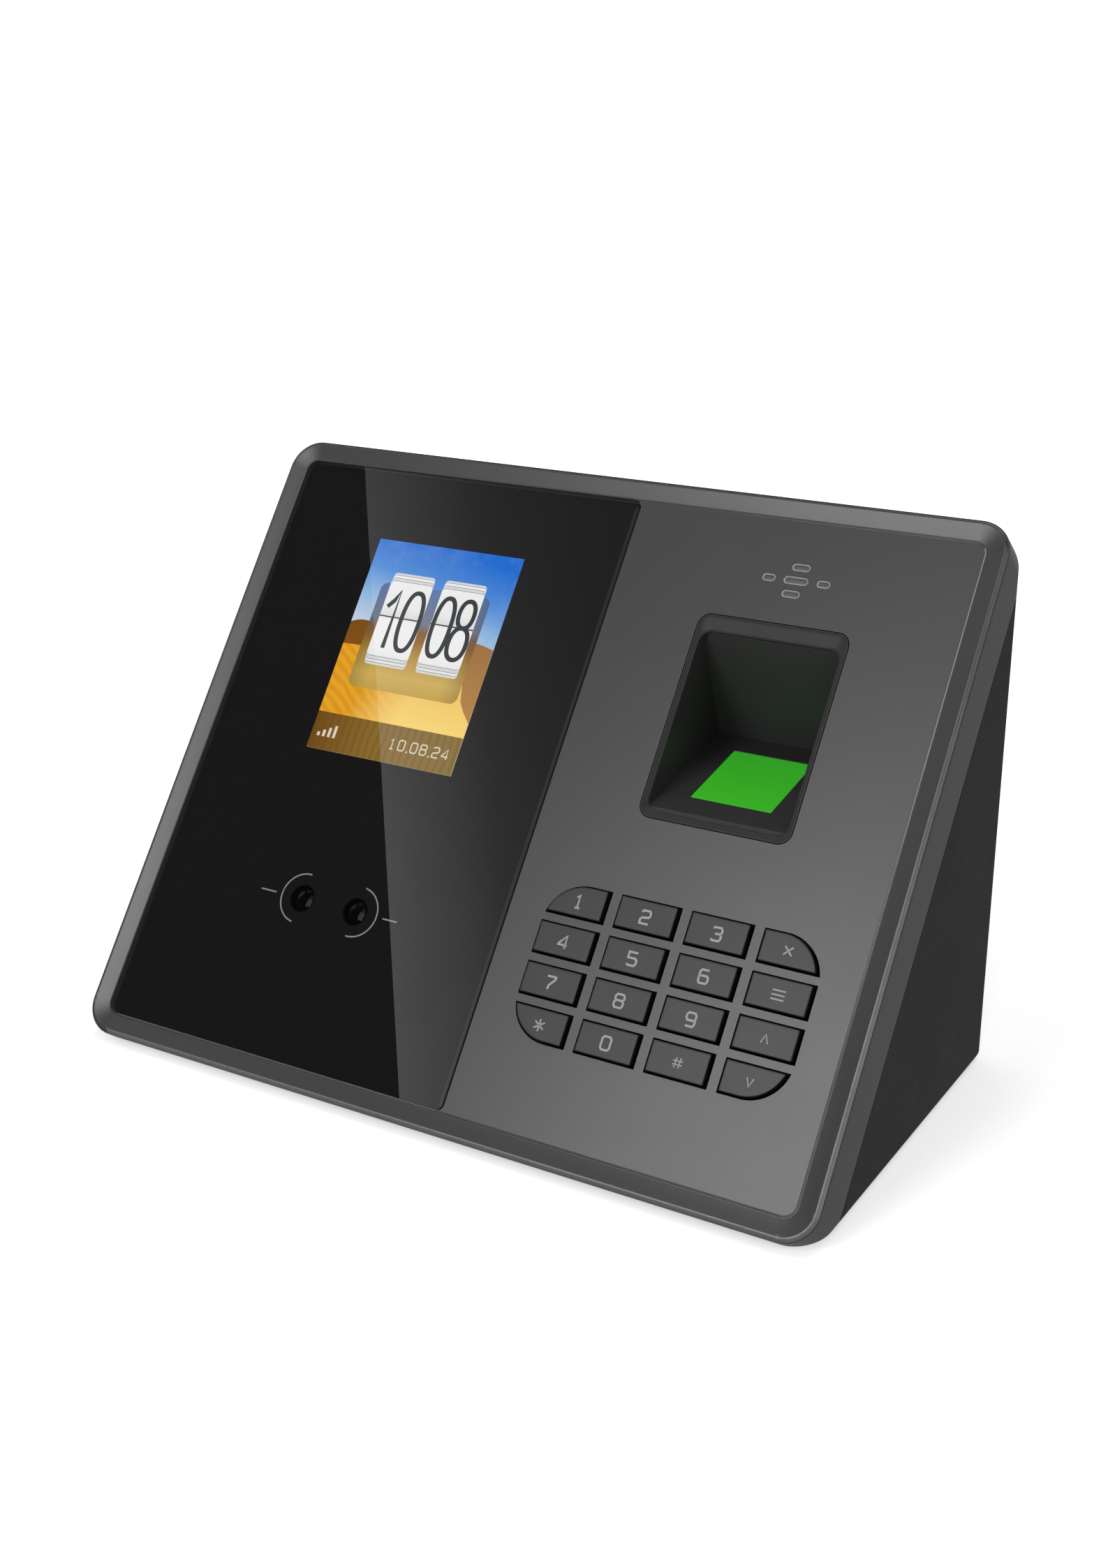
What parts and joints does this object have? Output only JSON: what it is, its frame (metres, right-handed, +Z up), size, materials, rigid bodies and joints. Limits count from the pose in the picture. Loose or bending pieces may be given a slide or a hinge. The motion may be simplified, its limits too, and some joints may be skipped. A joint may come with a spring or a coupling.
{
  "type": "fingerprint scanner terminal",
  "caption": "Wedge-shaped access terminal with a black display and camera glass, a green-lit fingerprint well, a sound grille and a raised push-button keypad on a leaning panel.",
  "frame": {"origin": "centre of the footprint, on the plane the rubber feet stand on", "axes": "+X to the right seen from the front, +Y to the back (wall side), +Z up; the panel faces -Y and leans back 37 degrees"},
  "size_m": [0.1976, 0.1036, 0.1341],
  "materials": {
    "cover_plastic": "satin dark grey moulded ABS with a fine spark texture",
    "housing_plastic": "dark charcoal moulded ABS, fine matte texture",
    "black_glass": "black printed cover glass, polished",
    "display": "lit colour display behind glass",
    "steel": "bright zinc-plated sheet steel",
    "circuit_board": "green solder mask",
    "foam": "black closed-cell foam",
    "black_plastic": "black moulded plastic",
    "guide_plastic": "dark grey moulded plastic, matte",
    "platen": "optical glass lit green from below",
    "clear_optic": "polished optical acrylic",
    "silicone": "grey silicone rubber",
    "ribbon": "amber polyimide flat cable",
    "cable": "dark grey sheathed cable",
    "battery_wrap": "blue shrink wrap",
    "wall_steel": "grey powder-coated sheet steel",
    "lens_glass": "coated camera lens",
    "key_plastic": "dark grey keycap, satin, printed silver-grey legends",
    "screw_zinc": "zinc-plated",
    "foot_rubber": "black rubber"
  },
  "bodies": {
    "terminal": {"backup_battery": "battery_wrap", "board_screw_1": "screw_zinc", "board_screw_2": "screw_zinc", "board_screw_3": "screw_zinc", "board_screw_4": "screw_zinc", "camera_barrel_left": "black_plastic", "camera_barrel_right": "black_plastic", "camera_board": "circuit_board", "camera_lens_left": "lens_glass", "camera_lens_right": "lens_glass", "case_screw_back_left": "screw_zinc", "case_screw_back_right": "screw_zinc", "case_screw_base_left": "screw_zinc", "case_screw_base_right": "screw_zinc", "connector_board": "circuit_board", "display_glass": "black_glass", "finger_guide": "guide_plastic", "foot_front_left": "foot_rubber", "foot_front_right": "foot_rubber", "foot_rear_left": "foot_rubber", "foot_rear_right": "foot_rubber", "front_cover": "cover_plastic", "ir_lamp_board": "circuit_board", "key_membrane": "silicone", "keypad_board": "circuit_board", "lcd_bracket": "steel", "lcd_module": "display", "lcd_ribbon": "ribbon", "main_board": "circuit_board", "network_port": "steel", "platen_glass": "platen", "power_jack": "black_plastic", "rear_housing": "housing_plastic", "sensor_board": "circuit_board", "sensor_cable": "cable", "sensor_holder": "black_plastic", "sensor_lamp_board": "circuit_board", "sensor_prism": "clear_optic", "speaker": "black_plastic", "speaker_cable": "cable", "speaker_gasket": "foam", "usb_port": "steel", "wall_plate": "wall_steel"},
    "key_0": {"key_0": "key_plastic"},
    "key_1": {"key_1": "key_plastic"},
    "key_2": {"key_2": "key_plastic"},
    "key_3": {"key_3": "key_plastic"},
    "key_4": {"key_4": "key_plastic"},
    "key_5": {"key_5": "key_plastic"},
    "key_6": {"key_6": "key_plastic"},
    "key_7": {"key_7": "key_plastic"},
    "key_8": {"key_8": "key_plastic"},
    "key_9": {"key_9": "key_plastic"},
    "key_cancel": {"key_cancel": "key_plastic"},
    "key_down": {"key_down": "key_plastic"},
    "key_hash": {"key_hash": "key_plastic"},
    "key_menu": {"key_menu": "key_plastic"},
    "key_star": {"key_star": "key_plastic"},
    "key_up": {"key_up": "key_plastic"}
  },
  "joints": [
    {"name": "key_0_press", "type": "slide", "parent": "terminal", "child": "key_0", "axis": [0, 0.7986, -0.6018], "range_m": [0, 0.001], "stiffness_N_per_m": 180},
    {"name": "key_1_press", "type": "slide", "parent": "terminal", "child": "key_1", "axis": [0, 0.7986, -0.6018], "range_m": [0, 0.001], "stiffness_N_per_m": 180},
    {"name": "key_2_press", "type": "slide", "parent": "terminal", "child": "key_2", "axis": [0, 0.7986, -0.6018], "range_m": [0, 0.001], "stiffness_N_per_m": 180},
    {"name": "key_3_press", "type": "slide", "parent": "terminal", "child": "key_3", "axis": [0, 0.7986, -0.6018], "range_m": [0, 0.001], "stiffness_N_per_m": 180},
    {"name": "key_4_press", "type": "slide", "parent": "terminal", "child": "key_4", "axis": [0, 0.7986, -0.6018], "range_m": [0, 0.001], "stiffness_N_per_m": 180},
    {"name": "key_5_press", "type": "slide", "parent": "terminal", "child": "key_5", "axis": [0, 0.7986, -0.6018], "range_m": [0, 0.001], "stiffness_N_per_m": 180},
    {"name": "key_6_press", "type": "slide", "parent": "terminal", "child": "key_6", "axis": [0, 0.7986, -0.6018], "range_m": [0, 0.001], "stiffness_N_per_m": 180},
    {"name": "key_7_press", "type": "slide", "parent": "terminal", "child": "key_7", "axis": [0, 0.7986, -0.6018], "range_m": [0, 0.001], "stiffness_N_per_m": 180},
    {"name": "key_8_press", "type": "slide", "parent": "terminal", "child": "key_8", "axis": [0, 0.7986, -0.6018], "range_m": [0, 0.001], "stiffness_N_per_m": 180},
    {"name": "key_9_press", "type": "slide", "parent": "terminal", "child": "key_9", "axis": [0, 0.7986, -0.6018], "range_m": [0, 0.001], "stiffness_N_per_m": 180},
    {"name": "key_cancel_press", "type": "slide", "parent": "terminal", "child": "key_cancel", "axis": [0, 0.7986, -0.6018], "range_m": [0, 0.001], "stiffness_N_per_m": 180},
    {"name": "key_down_press", "type": "slide", "parent": "terminal", "child": "key_down", "axis": [0, 0.7986, -0.6018], "range_m": [0, 0.001], "stiffness_N_per_m": 180},
    {"name": "key_hash_press", "type": "slide", "parent": "terminal", "child": "key_hash", "axis": [0, 0.7986, -0.6018], "range_m": [0, 0.001], "stiffness_N_per_m": 180},
    {"name": "key_menu_press", "type": "slide", "parent": "terminal", "child": "key_menu", "axis": [0, 0.7986, -0.6018], "range_m": [0, 0.001], "stiffness_N_per_m": 180},
    {"name": "key_star_press", "type": "slide", "parent": "terminal", "child": "key_star", "axis": [0, 0.7986, -0.6018], "range_m": [0, 0.001], "stiffness_N_per_m": 180},
    {"name": "key_up_press", "type": "slide", "parent": "terminal", "child": "key_up", "axis": [0, 0.7986, -0.6018], "range_m": [0, 0.001], "stiffness_N_per_m": 180}
  ]
}
